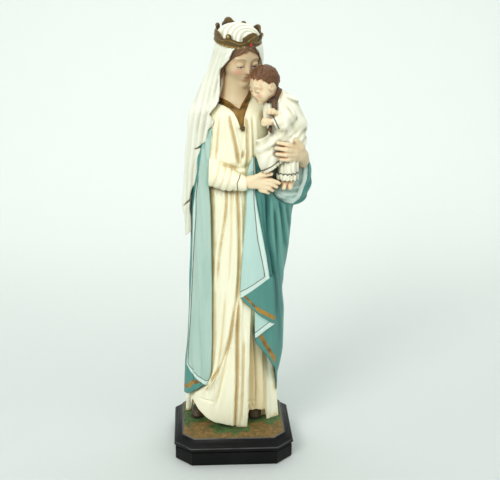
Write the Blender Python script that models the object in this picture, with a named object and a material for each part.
"""Painted plaster statue: a crowned, veiled mother carrying a child, on a black plinth.

All sizes below are millimetres. The frame is +Z up, -Y is the front, +X is the
viewer's right, and the origin is the middle of the plinth's underside.
Every garment is a closed loft whose radius is a function of direction and height;
limbs, heads and hands are lofts along short paths. The whole is one cast piece.
"""
import math

import bmesh
import bpy
import numpy as np
from mathutils import Matrix, Vector

MM = 0.001

# ---------------------------------------------------------------- driving dimensions
TOTAL_HEIGHT = 500.0
BASE_W, BASE_D, BASE_CHAMFER = 138.6, 125.6, 19.4
GROUND_Z, GROUND_INSET = 30.2, 10.9
WAIST_Z, SHOULDER_Z = 346.0, 402.0
HEAD_C, HEAD_R = (7.2, -2.5, 459.5), (19.5, 24.5, 27.5)
HEAD_BOW, HEAD_TURN, HEAD_ROLL = 17.0, 27.0, 0.0
CROWN_C, CROWN_R = (5.9, -1.0, 484.1), 24.9
CROWN_YAW, CROWN_PITCH = 20.0, 12.5
CHILD_HEAD_C, CHILD_HEAD_R = (31.3, -28.5, 434.8), 17.0
JEWEL_R, JEWEL_RISE, JEWEL_GAP = 2.1, -3.3, 0.3
VOXEL = 1.5
TRIANGLES = 9300


# ---------------------------------------------------------------- small helpers
def curve(knots, z):
    """Smooth reading of (position, value) knots, with no overshoot between them."""
    k = sorted(knots)
    xs = np.array([a for a, _ in k], float)
    ys = np.array([b for _, b in k], float)
    z = np.clip(np.asarray(z, float), xs[0], xs[-1])
    if len(xs) == 1:
        return np.full_like(z, ys[0])
    h = np.diff(xs)
    d = np.diff(ys) / h
    m = np.empty_like(ys)
    m[0], m[-1] = d[0], d[-1]
    for i in range(1, len(ys) - 1):
        m[i] = 0.0 if d[i - 1] * d[i] <= 0 else 2 * d[i - 1] * d[i] / (d[i - 1] + d[i])
    i = np.clip(np.searchsorted(xs, z, side="right") - 1, 0, len(h) - 1)
    t = (z - xs[i]) / h[i]
    return ((1 + 2 * t) * (1 - t) ** 2 * ys[i] + t * (1 - t) ** 2 * h[i] * m[i]
            + t * t * (3 - 2 * t) * ys[i + 1] + t * t * (t - 1) * h[i] * m[i + 1])


def step(edge, width, v):
    t = np.clip((v - edge) / width + 0.5, 0.0, 1.0)
    return t * t * (3 - 2 * t)


def bump(v, centre, width):
    return np.exp(-((v - centre) / width) ** 2)


def section(theta, xl, xr, yf, yb, power=2.2):
    """Radius of a rounded section seen from its own centre; theta 0 faces the front."""
    s, c = np.sin(theta), np.cos(theta)
    a = np.where(s >= 0, xr, -xl)
    b = np.where(c >= 0, -yf, yb)
    return (np.abs(s / a) ** power + np.abs(c / b) ** power) ** (-1.0 / power)


def mesh_from(name, verts, faces):
    me = bpy.data.meshes.new(name)
    me.from_pydata([tuple(float(q) * MM for q in v) for v in verts], [], faces)
    me.update()
    return me


def loft(rings):
    """Closed body through rings of equal point counts, both ends capped by fans."""
    n = len(rings[0])
    verts = [tuple(p) for r in rings for p in r]
    faces = []
    for j in range(len(rings) - 1):
        for i in range(n):
            a, b = j * n + i, j * n + (i + 1) % n
            faces.append((a, b, b + n, a + n))
    for j, flip in ((0, True), (len(rings) - 1, False)):
        verts.append(tuple(np.mean(np.asarray(rings[j], float), axis=0)))
        c = len(verts) - 1
        for i in range(n):
            a, b = j * n + i, j * n + (i + 1) % n
            faces.append((b, a, c) if flip else (a, b, c))
    return verts, faces


def tube(path, radii, sides=16, flat=1.0, up=(0, 0, 1)):
    """Limb: a loft along a path, rounded at both ends; flat squeezes it along up."""
    P = np.array(path, float)
    R = np.array(radii, float)
    t = np.linspace(0, 1, len(P))
    n = max(8, 4 * len(P))
    tt = np.linspace(0, 1, n)
    C = np.stack([curve(list(zip(t, P[:, k])), tt) for k in range(3)], 1)
    rr = curve(list(zip(t, R)), tt)
    T = np.gradient(C, axis=0)
    T /= np.linalg.norm(T, axis=1)[:, None]
    rings = []
    order = [(0, -f) for f in (0.95, 0.7, 0.35)] + [(i, 0.0) for i in range(n)] + [(n - 1, f) for f in (0.35, 0.7, 0.95)]
    for i, f in order:
        side = np.cross(T[i], up)
        side /= max(np.linalg.norm(side), 1e-9)
        upv = np.cross(side, T[i])
        r = rr[i] * math.sqrt(max(1 - f * f, 0.02))
        c = C[i] + T[i] * f * rr[i]
        rings.append([c + r * (side * math.cos(a) + flat * upv * math.sin(a))
                      for a in np.linspace(0, 2 * math.pi, sides, endpoint=False)])
    return loft(rings)


def blob(centre, radii, turn=0.0, bow=0.0, roll=0.0, shape=None, rings=20, sides=28):
    """Egg: a sphere with three radii, turned about Z, bowed forward, rolled sideways."""
    rot = (Matrix.Rotation(math.radians(turn), 3, "Z") @ Matrix.Rotation(math.radians(roll), 3, "Y")
           @ Matrix.Rotation(math.radians(bow), 3, "X"))
    out = []
    for j in range(rings):
        v = -math.pi / 2 + math.pi * (j + 0.5) / rings
        row = []
        for i in range(sides):
            u = 2 * math.pi * i / sides
            p = np.array([math.cos(v) * math.sin(u), -math.cos(v) * math.cos(u), math.sin(v)])
            k = 1.0 if shape is None else shape(p)
            q = rot @ Vector(p * k * np.array(radii))
            row.append(tuple(np.array(centre) + np.array(q)))
        out.append(row)
    return loft(out)


def shell(zs, radius, centre, sides=200):
    """Garment: rings at heights zs, radius(theta, z) about centre(z)."""
    th = np.linspace(0, 2 * math.pi, sides, endpoint=False)
    rings = []
    for z in zs:
        cx, cy = centre(z)
        r = radius(th, np.full_like(th, z))
        rings.append(np.stack([cx + r * np.sin(th), cy - r * np.cos(th), np.full_like(th, z)], 1))
    return loft(rings)


def slab(outline, front, thick, inset=0.0):
    """Cloth layer: an outline in x and z, laid at depth front(x, z), thick towards the body."""
    pts = np.array(outline, float)
    dense = []
    for i in range(len(pts)):
        a, b = pts[i], pts[(i + 1) % len(pts)]
        m = max(1, int(np.linalg.norm(b - a) / 4.0))
        dense += [a + (b - a) * k / m for k in range(m)]
    c = np.mean(dense, axis=0)
    rings = []
    for depth, scale in ((thick, 1.0), (0.8, 1.0), (0.0, 0.97)):
        rings.append([(c[0] + (p[0] - c[0]) * scale, front(p[0], p[1]) + depth,
                       c[1] + (p[1] - c[1]) * scale) for p in dense])
    area = sum(dense[i][0] * dense[(i + 1) % len(dense)][1] - dense[(i + 1) % len(dense)][0] * dense[i][1]
               for i in range(len(dense)))
    if area < 0:
        rings = [r[::-1] for r in rings]
    return loft(rings)


# ---------------------------------------------------------------- garments
def body_centre(z):
    """Middle of the standing figure at a height: a slight sway over the right hip."""
    return (float(curve([(30, 2.0), (150, 4.0), (250, 5.0), (346, 6.0), (410, 6.5)], z)),
            float(curve([(30, 4.0), (200, 2.0), (346, 0.0), (410, -1.0)], z)))


def xz_of(theta, z, r):
    cx = curve([(30, 2.0), (150, 4.0), (250, 5.0), (346, 6.0), (410, 6.5)], z)
    return cx + r * np.sin(theta)


GOWN_LEFT = [(30, -51), (50, -48), (90, -43), (150, -36), (220, -33), (300, -30), (346, -30), (380, -32), (400, -28), (410, -19), (420, -8)]
GOWN_RIGHT = [(30, 54.5), (50, 53), (74, 51), (95, 48.2), (150, 47), (220, 46), (300, 43), (346, 38), (380, 40), (400, 38), (412, 28), (420, 17)]
GOWN_FRONT = [(30, -27), (60, -31), (100, -33), (150, -33), (200, -34), (250, -35), (300, -35), (346, -31), (362, -33), (385, -32), (400, -29), (412, -20), (420, -8)]
GOWN_BACK = [(30, 36), (90, 32), (150, 29), (250, 27), (346, 24), (385, 25), (405, 20), (412, 14), (420, 8)]
FRONT_GROOVES = [  # (x by height), depth, half width: the long pleats of the gown's front
    ([(212, -18.6), (243, -16.3), (269, -12.9), (319, -7.4)], 2.2, 2.6),
    ([(146, -4.2), (174, -0.1), (207, 4.8), (239, 6.3), (280, 5.7), (317, 3.4)], 2.0, 2.2),
    ([(31, 2.0), (94, 4.0), (156, 3.9), (193, 4.9)], 2.6, 2.2),
    ([(40, 20.0), (105, 21.5), (142, 24.0)], 5.0, 3.2),
    ([(57, 38.1), (84, 36.6), (122, 33.9)], 4.0, 2.6),
]


def gown_radius(theta, z):
    r = section(theta, curve(GOWN_LEFT, z), curve(GOWN_RIGHT, z), curve(GOWN_FRONT, z), curve(GOWN_BACK, z))
    x = xz_of(theta, z, r)
    front = step(0.15, 0.3, np.cos(theta))
    low = 1 - step(230, 120, z)
    for knots, depth, width in FRONT_GROOVES:
        lo, hi = knots[0][0], knots[-1][0]
        on = step(lo - 4, 10, z) * (1 - step(hi + 12, 40, z))
        r = r - front * on * depth * bump(x, curve(knots, z), width)
    # back and side pleats, plainer
    r = r + (1 - front) * (0.8 + 1.6 * low) * np.cos(theta * 13 + 0.6 * np.sin(theta * 2))
    # the hem: the left side of the skirt sweeps back under its rolled edge
    left = bump(theta, -0.95, 0.42)
    r = r - left * 20.0 * (1 - step(46, 30, z))
    r = r + left * 5.0 * bump(z, 66, 14)
    right = bump(theta, 0.62, 0.25)
    r = r - right * 13.0 * (1 - step(44, 22, z))
    return r


MANTLE_LEFT = [(62, -58.4), (82, -57.9), (104, -56.0), (148, -52.5), (205, -49.3), (256, -47.8), (300, -46.2), (346, -44), (384, -37), (402, -29), (414, -14)]
MANTLE_RIGHT = [(62, 52.8), (88, 53.7), (104, 56.7), (125, 59.3), (164, 59.4), (199, 56.6), (210, 56.5), (233, 60.1), (256, 63.8), (291, 67.0), (324, 78), (352, 78), (372, 68), (392, 52), (404, 38), (414, 20)]
MANTLE_FRONT = [(62, -26), (100, -33), (150, -37), (250, -40), (300, -38), (346, -33), (402, -26), (414, -16)]
MANTLE_BACK = [(62, 36), (100, 38), (200, 36), (300, 35), (380, 34), (402, 30), (414, 16)]
LAPEL_EDGE = [(82, -28.7), (128, -26.2), (250, -27.1), (330, -30.9), (358, -26.4), (385, -23.0), (414, -16)]
FRONT_EDGE = [(96, 57.0), (130, 45.0), (150, 26.0), (166, 43.0), (186, 24.0), (199, 9.5), (240, 10.5), (280, 13.0), (320, 17.0), (358, 19.0), (414, 30.0)]
MANTLE_FOLDS = [  # valleys of the teal outer cloth on the right side
    ([(100, 52.0), (167, 50.5), (204, 48.0), (245, 43.7), (309, 38.5)], 4.5, 3.0),
    ([(235, 58.0), (272, 55.1), (307, 51.0)], 3.0, 2.6),
    ([(200, 38.0), (243, 34.5), (310, 28.0)], 2.0, 2.0),
]


def mantle_radius(theta, z):
    r = section(theta, curve(MANTLE_LEFT, z), curve(MANTLE_RIGHT, z), curve(MANTLE_FRONT, z), curve(MANTLE_BACK, z), 2.3)
    x = xz_of(theta, z, r)
    front = step(0.05, 0.3, np.cos(theta))
    back = 1 - front
    r = r + back * (2.0 + 1.5 * (1 - step(200, 200, z))) * np.cos(theta * 9 + 0.8 * np.sin(3 * theta)) * (1 - step(385, 50, z))
    for knots, depth, width in MANTLE_FOLDS:
        lo, hi = knots[0][0], knots[-1][0]
        on = step(lo - 6, 14, z) * (1 - step(hi + 6, 16, z))
        r = r - front * on * depth * bump(x, curve(knots, z), width)
    # open front between the two edges: the cloth dips inside the gown
    hem_left = curve([(-60, 64), (-47, 66), (-33, 76), (-20, 84)], x)
    hem_right = curve([(40, 96), (50, 88), (56, 62)], x)
    opening = step(curve(LAPEL_EDGE, z), 1.5, x) * (1 - step(curve(FRONT_EDGE, z), 1.5, x)) * step(0.0, 0.1, np.cos(theta))
    below = np.where(x < 0, 1 - step(hem_left, 1.5, z), 1 - step(hem_right, 1.5, z)) * front
    gone = np.maximum(opening, below)
    inside = gown_radius(theta, z) - 3.0
    return r * (1 - gone) + np.minimum(inside, r) * gone


VEIL_LEFT = [(256, -55.5), (272, -55.0), (285, -56.0), (295, -57.8), (312, -56.5), (346, -53.5), (380, -50.8), (394, -49.4), (402, -47.5), (414, -41.5), (430, -34.8), (446, -28.2), (460, -23.6), (474, -20.0), (488, -13), (494, -4)]
VEIL_RIGHT = [(300, 40), (400, 38), (420, 34), (440, 32), (461, 32.5), (474, 31.5), (486, 24), (494, 6)]
VEIL_FRONT = [(256, -14), (300, -18), (346, -24), (380, -27), (402, -27), (420, -23), (445, -21), (468, -22), (480, -20), (488, -14), (494, -5)]
VEIL_BACK = [(256, 36), (300, 37), (380, 38), (402, 36), (425, 31), (445, 28), (470, 26), (482, 20), (490, 12), (494, 4)]
VEIL_EDGE = [(256, -50), (262, -44), (296, -44.5), (298, -50), (318, -40), (322, -35), (362, -33), (366, -38), (374, -28), (400, -25), (408, -20), (419, -15), (433, -15), (449, -14), (461, -6), (469, 2), (474, 10), (478, 40), (500, 40)]


def veil_radius(theta, z):
    r = section(theta, curve(VEIL_LEFT, z), curve(VEIL_RIGHT, z), curve(VEIL_FRONT, z), curve(VEIL_BACK, z), 2.1)
    x = xz_of(theta, z, r)
    head = step(445, 60, z)
    fold = np.sin(theta * 11.0 + (z - 300) * 0.012)
    r = r + 1.5 * fold * (1 - head) * step(-0.2, 0.4, -np.sin(theta) + 0.4)
    front = step(0.0, 0.15, np.cos(theta))
    gone = step(curve(VEIL_EDGE, z), 1.5, x) * front
    # the back of the veil ends in a rounded hem; its right side is short
    hem = 300 - 20 * np.cos(theta) - 60 * np.maximum(np.sin(-theta), 0) + 110 * np.maximum(np.sin(theta), 0)
    gone = np.maximum(gone, 1 - step(hem, 2.0, z))
    inside = np.where(z > 425, 12.0, np.minimum(gown_radius(theta, z) - 4.0, r))
    return r * (1 - gone) + inside * gone


def front_of(x, z):
    """Depth of the drapery's front at a place: the outermost of gown and mantle."""
    cx, cy = body_centre(z)
    best = 0.0
    for f in (gown_radius, mantle_radius):
        th = np.linspace(-1.45, 1.45, 60)
        r = f(th, np.full_like(th, z))
        xs = cx + r * np.sin(th)
        ys = cy - r * np.cos(th)
        i = int(np.argmin(np.abs(xs - x)))
        best = min(best, float(ys[i]))
    return best


# ---------------------------------------------------------------- plinth
def octagon(inset, z, mound=0.0):
    w, d = BASE_W / 2 - inset, BASE_D / 2 - inset
    c = BASE_CHAMFER - inset * 0.586
    out = []
    for px, py in ((w, -d + c), (w, d - c), (w - c, d), (-w + c, d), (-w, d - c), (-w, -d + c), (-w + c, -d), (w - c, -d)):
        out.append((px, py, z))
    return out


PLINTH_PROFILE = [(3.2, 0.0), (1.9, 0.8), (1.4, 2.4), (1.4, 16.4), (2.0, 17.2), (0.9, 18.0), (0.0, 19.4),
                  (0.0, 21.6), (0.9, 23.2), (3.6, 24.2), (7.4, 26.6), (9.6, 29.4), (GROUND_INSET, GROUND_Z)]


def plinth():
    return loft([octagon(i, z) for i, z in PLINTH_PROFILE])


# ---------------------------------------------------------------- crown
def crown_frame():
    return (Matrix.Translation(Vector(CROWN_C)) @ Matrix.Rotation(math.radians(CROWN_YAW), 4, "Z")
            @ Matrix.Rotation(math.radians(CROWN_PITCH), 4, "X"))


def crown():
    """Hollow band, flared upward, eight points in turn: a leaf and a small pearl point."""
    n = 128
    M = crown_frame()
    outer_low, outer_high, inner_high, inner_low = [], [], [], []
    for i in range(n):
        a = 2 * math.pi * i / n
        turn = math.degrees(a) - CROWN_TURN
        off = lambda place: (turn - place + 180.0) % 360.0 - 180.0
        top = 0.4 + max([h * math.exp(-(off(d) / w) ** 2) for d, h, w in CROWN_LEAVES]
                        + [6.6 * math.exp(-(off(d) / 6.3) ** 2) for d in CROWN_PEARLS])
        for store, r, z in ((outer_low, CROWN_R + 0.9, -7.8), (outer_high, CROWN_R + 1.3 + top * 0.10, top),
                            (inner_high, CROWN_R - 1.6 + top * 0.10, top), (inner_low, CROWN_R - 5.0, -7.0)):
            store.append(tuple(M @ Vector((r * math.sin(a), -r * math.cos(a), z))))
    verts = inner_low + outer_low + outer_high + inner_high
    faces = []
    for j in range(4):
        for i in range(n):
            a, b = j * n + i, j * n + (i + 1) % n
            c, d = ((j + 1) % 4) * n + (i + 1) % n, ((j + 1) % 4) * n + i
            faces.append((a, b, c, d))
    return verts, faces


CROWN_TURN = 10.6   # where the front leaf stands, degrees to the viewer's right
# leaves as (degrees round from the front leaf, height, half width in degrees); pearl points between them
CROWN_LEAVES = ((0.0, 9.8, 12.4), (94.0, 7.0, 10.4), (173.0, 9.8, 10.4), (264.0, 5.6, 11.4))
CROWN_PEARLS = (37.0, 135.0, 210.0, 303.0)


# ---------------------------------------------------------------- building
def clear():
    for ob in list(bpy.data.objects):
        bpy.data.objects.remove(ob, do_unlink=True)


def paint(name, colour, rough, metal=0.0):
    m = bpy.data.materials.new(name)
    m.use_nodes = True
    b = m.node_tree.nodes["Principled BSDF"]
    b.inputs["Base Color"].default_value = (*colour, 1.0)
    b.inputs["Roughness"].default_value = rough
    b.inputs["Metallic"].default_value = metal
    return m


def bodies():
    zs = lambda a, b, s: np.append(np.arange(a, b, s), b)
    out = [plinth()]
    out.append(shell(zs(27.0, 420.0, 2.5), gown_radius, body_centre))
    out.append(shell(zs(60.0, 414.0, 2.0), mantle_radius, body_centre))
    out.append(shell(zs(254.0, 494.0, 2.0), veil_radius, body_centre))

    # neck, bust and head
    out.append(tube([(6.5, -3.0, 400), (6.0, -5.0, 418), (7.5, -6.5, 436)], (17, 11.5, 11.0)))
    jaw = lambda p: 1.0 - 0.16 * max(0.0, -p[2]) ** 1.5 + 0.05 * max(0.0, -p[1]) * max(0.0, -p[2])
    out.append(blob(HEAD_C, HEAD_R, HEAD_TURN, HEAD_BOW, -HEAD_ROLL, jaw))
    out.append(crown())

    # her right arm: upper arm under the veil, forearm across the waist, open hand
    out.append(tube([(-24, -2, 392), (-29, -12, 360), (-27, -24, 338)], (12, 12, 13)))
    out.append(tube([(-25, -24, 338), (-12, -36, 336), (8, -43, 331)], (13.5, 12.0, 8.6)))
    out.append(tube([(8, -43, 331), (22, -46, 334), (34, -47, 334)], (6.8, 6.8, 8.6), flat=1.0))
    for k, (dx, dz) in enumerate(((12.5, -9.5), (13.0, -6.0), (11.0, -2.8), (8.5, 0.6))):
        out.append(tube([(31, -46.5, 336 - 2.6 * k), (38, -48, 332 - 2.5 * k), (33.5 + dx, -46.5, 334 - 2.2 * k + dz)],
                        (3.2, 3.0, 2.4), sides=10))
    out.append(tube([(22, -46, 338), (29, -48, 343), (38, -48.5, 339)], (3.6, 3.4, 2.6), sides=10))

    # her left arm: the mantle hangs from it, the hand lies over the child's side
    out.append(tube([(42, 2, 394), (64, 4, 364), (73.5, -2, 337)], (12, 13, 13)))
    out.append(tube([(75, -6, 340), (76, -16, 351), (74, -27, 358)], (10.0, 8.0, 7.2)))
    out.append(tube([(75, -24, 357), (70, -36, 361), (64, -42, 364.5)], (7.4, 8.2, 7.4), flat=0.85))
    for k in range(4):
        out.append(tube([(64, -43, 371 - 4.2 * k), (55, -50, 374.5 - 4.9 * k), (45.5 + 1.0 * k, -51.5, 377 - 5.4 * k)],
                        (3.2, 3.0, 2.4), sides=10))
    out.append(tube([(73, -33, 364), (71, -37, 372), (66.5, -38.5, 379.5)], (3.9, 3.4, 2.5), sides=10))

    # child: trunk, thighs, shins under the gown, underskirt and feet, arms and head
    out.append(tube([(51, -20, 421), (61, -17, 402), (64, -19, 380), (61, -25, 366)], (11.5, 17, 16.5, 15.5)))
    out.append(tube([(62, -28, 374), (46, -37, 376), (30, -44, 373)], (13.5, 11.5, 8.0)))
    out.append(tube([(31, -43, 372), (34, -43, 360), (38, -43, 349)], (8.5, 9.5, 8.5)))
    out.append(tube([(56, -38, 368), (60, -39, 352), (61, -39, 337)], (12, 10.5, 11.0), flat=1.0))
    out.append(tube([(60, -38, 338), (58.5, -41, 330), (57, -42, 326)], (6.0, 5.0, 3.6)))
    out.append(tube([(52, -30, 412), (56, -38, 400), (43, -45, 394)], (9.5, 8.8, 6.2)))
    out.append(tube([(43, -45, 396), (37, -47, 399), (32.5, -47, 400)], (4.4, 4.6, 4.6), sides=12))
    out.append(tube([(43, -43, 407), (42, -45, 412), (40, -45, 415)], (4.2, 4.4, 3.8), sides=12))
    out.append(blob(CHILD_HEAD_C, (CHILD_HEAD_R * 0.9, CHILD_HEAD_R * 1.03, CHILD_HEAD_R * 1.05), -70.0, 25.0, 0.0))
    out.append(tube([(46, -22, 424), (40, -25, 430), (35, -27, 436)], (8.5, 8.5, 8.5)))

    # the mantle's lining turned over her left arm: a deep round fold
    for k, (y0, w) in enumerate(((-20, 18.0), (-25, 12.5))):
        arc = [(64.5 + (w + 1.0) * math.sin(a), y0 - 4.0 * math.cos(a) ** 2, 330 - (w + 20) * max(0.0, math.cos(a)) + 5 * k)
               for a in np.linspace(-1.5, 1.5, 9)]
        out.append(tube(arc, [5.0] * 9, sides=12))
    swag = [(44, 332), (48, 314), (55, 302), (64.5, 297), (72, 300), (79, 312), (83, 330), (78, 345), (55, 345)]
    out.append(slab(swag, lambda x, z: -24.0 - 4.0 * math.cos((x - 64.5) / 14.0), 30.0))

    # lining strips and turned corners of the mantle's front edge
    lay = lambda lift: (lambda x, z: front_of(x, z) - lift)
    out.append(slab([(13.5, 345), (19.5, 358), (26, 320), (30, 290), (35, 250), (40.2, 222), (7.6, 200), (9.5, 240), (13, 300)],
                    lay(1.6), 9.0))
    out.append(slab([(8, 199), (39, 219), (46, 196), (44.8, 167.5), (24, 186)], lay(0.8), 8.0))
    out.append(slab([(24.5, 186), (43.5, 168), (45, 160), (24.5, 150)], lay(0.6), 10.0))
    out.append(slab([(24.5, 151), (46, 168), (55, 150), (56, 110), (53, 64), (48, 96), (38, 122)], lay(0.8), 10.0))
    out.append(slab([(-54.5, 104), (-48, 240), (-43, 300), (-33, 330), (-28, 250), (-27, 128), (-29, 82)], lay(0.8), 8.0))

    # shoes
    out.append(tube([(-38, 22, 36), (-41, 12, 35), (-43, 3, 33.5)], (7.5, 6.5, 4.2), flat=0.75))
    out.append(tube([(27, 14, 37), (27.5, 4, 36), (27.5, -3, 34)], (8.0, 7.2, 4.8), flat=0.8))
    return out


def statue():
    parts = []
    for i, (v, f) in enumerate(bodies()):
        me = mesh_from("body_%02d" % i, v, f)
        bm = bmesh.new()
        bm.from_mesh(me)
        bmesh.ops.recalc_face_normals(bm, faces=bm.faces)
        bm.to_mesh(me)
        bm.free()
        parts.append(me)
    whole = bmesh.new()
    for me in parts:
        whole.from_mesh(me)
    me = bpy.data.meshes.new("statue")
    whole.to_mesh(me)
    whole.free()
    ob = bpy.data.objects.new("statue", me)
    bpy.context.scene.collection.objects.link(ob)
    ob.data.materials.append(paint("painted_plaster", (0.83, 0.78, 0.62), 0.5))
    re = ob.modifiers.new("one cast body", "REMESH")
    re.mode = "VOXEL"
    re.voxel_size = VOXEL * MM
    re.adaptivity = 0.0
    de = ob.modifiers.new("facets", "DECIMATE")
    de.ratio = TRIANGLES / 140000.0
    return ob


def jewel_seat():
    """Frame of the crown stone: its origin on the crown's outer wall, +Z outward."""
    a = math.radians(CROWN_TURN)
    out = Vector((math.sin(a), -math.cos(a), 0.0))
    local = Matrix.Translation(out * (CROWN_R + 0.9) + Vector((0, 0, JEWEL_RISE)))
    return crown_frame() @ local @ out.to_track_quat("Z", "Y").to_matrix().to_4x4()


def jewel():
    """Faceted round stone in a shallow pocket, proud of the crown's wall."""
    M = jewel_seat()
    rings = []
    for r, z in ((JEWEL_R - 0.5, JEWEL_GAP - 1.2), (JEWEL_R, -0.2), (JEWEL_R, 0.9), (JEWEL_R * 0.55, 2.2)):
        rings.append([tuple(M @ Vector((r * math.cos(a), r * math.sin(a), z)))
                      for a in np.linspace(0, 2 * math.pi, 8, endpoint=False)])
    v, f = loft(rings)
    me = mesh_from("crown_jewel", v, f)
    ob = bpy.data.objects.new("crown_jewel", me)
    bpy.context.scene.collection.objects.link(ob)
    ob.data.materials.append(paint("red_paste", (0.55, 0.02, 0.05), 0.12))
    return ob


def jewel_pocket(statue_ob):
    """Round pocket the stone sits in, with an even gap round it."""
    M = jewel_seat()
    rings = []
    for z in (-1.2, 6.0):
        rings.append([tuple(M @ Vector(((JEWEL_R + JEWEL_GAP) * math.cos(a), (JEWEL_R + JEWEL_GAP) * math.sin(a), z)))
                      for a in np.linspace(0, 2 * math.pi, 16, endpoint=False)])
    v, f = loft(rings)
    me = mesh_from("jewel_pocket_cutter", v, f)
    cut = bpy.data.objects.new("jewel_pocket_cutter", me)
    bpy.context.scene.collection.objects.link(cut)
    cut.hide_render = True
    cut.display_type = "WIRE"
    m = statue_ob.modifiers.new("jewel pocket", "BOOLEAN")
    m.operation = "DIFFERENCE"
    m.solver = "EXACT"
    m.object = cut


def settle_facets(ob):
    """Set the facet ratio from the cast body's own face count."""
    de = ob.modifiers["facets"]
    de.show_viewport = False
    dg = bpy.context.evaluated_depsgraph_get()
    n = sum(len(p.vertices) - 2 for p in ob.evaluated_get(dg).data.polygons)
    de.show_viewport = True
    de.ratio = TRIANGLES / n


def main():
    clear()
    ob = statue()
    settle_facets(ob)
    jewel()
    jewel_pocket(ob)


main()
